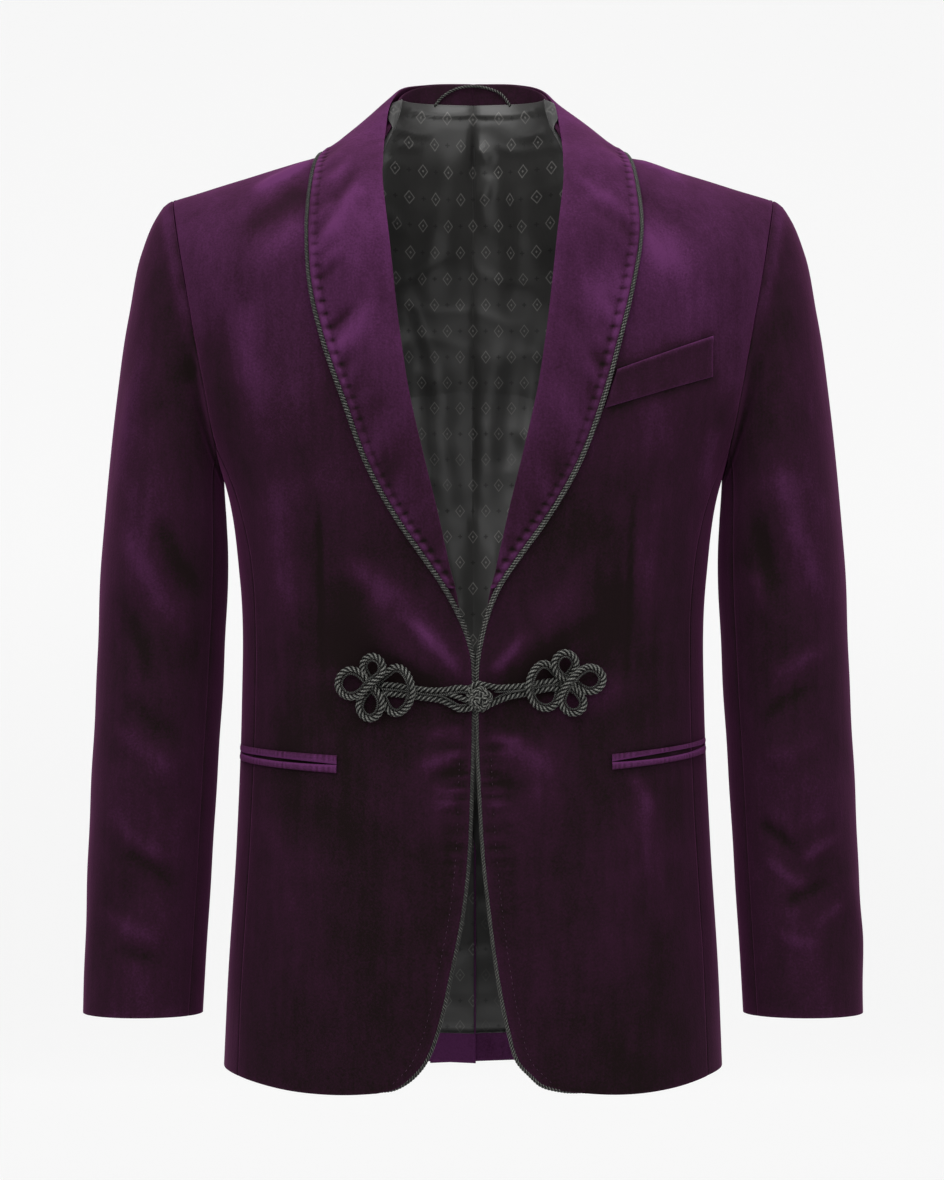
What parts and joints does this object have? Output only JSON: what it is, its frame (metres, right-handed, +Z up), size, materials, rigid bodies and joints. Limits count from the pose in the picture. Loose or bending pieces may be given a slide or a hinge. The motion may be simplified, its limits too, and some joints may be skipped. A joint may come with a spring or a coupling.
{
  "type": "shawl collar velvet jacket",
  "caption": "Velvet smoking jacket with a piped shawl collar, cord frog fastening, long sleeves, jetted hip pockets and a breast welt, worn over the torso and arms.",
  "frame": {"origin": "middle of the neck, level with the tops of the shoulders, where the wearer's shoulders carry the jacket", "axes": "+Z up, +X to the wearer's left, the front faces -Y"},
  "size_m": [0.6107, 0.2372, 0.797],
  "materials": {
    "velvet": "cotton velvet with a short pile, deep purple",
    "lining": "satin lining with a tone-on-tone weave, charcoal",
    "cord": "twisted cord, charcoal"
  },
  "bodies": {
    "root": {"front_right": "velvet", "front_left": "velvet", "side_right": "velvet", "side_left": "velvet", "back_right": "velvet", "back_left": "velvet", "lining_back_right": "lining", "lining_back_left": "lining", "top_sleeve_right": "velvet", "top_sleeve_left": "velvet", "under_sleeve_right": "velvet", "under_sleeve_left": "velvet", "collar_right": "velvet", "collar_left": "velvet", "collar_stand_right": "velvet", "collar_stand_left": "velvet", "piping_right": "cord", "piping_left": "cord", "frog_right_cord": "cord", "frog_left_cord": "cord", "frog_right_crown": "cord", "frog_left_crown": "cord", "frog_knot": "cord", "pocket_jet_upper_right": "velvet", "pocket_jet_upper_left": "velvet", "pocket_jet_lower_right": "velvet", "pocket_jet_lower_left": "velvet", "breast_welt": "velvet", "hanger_loop": "cord"}
  },
  "joints": []
}
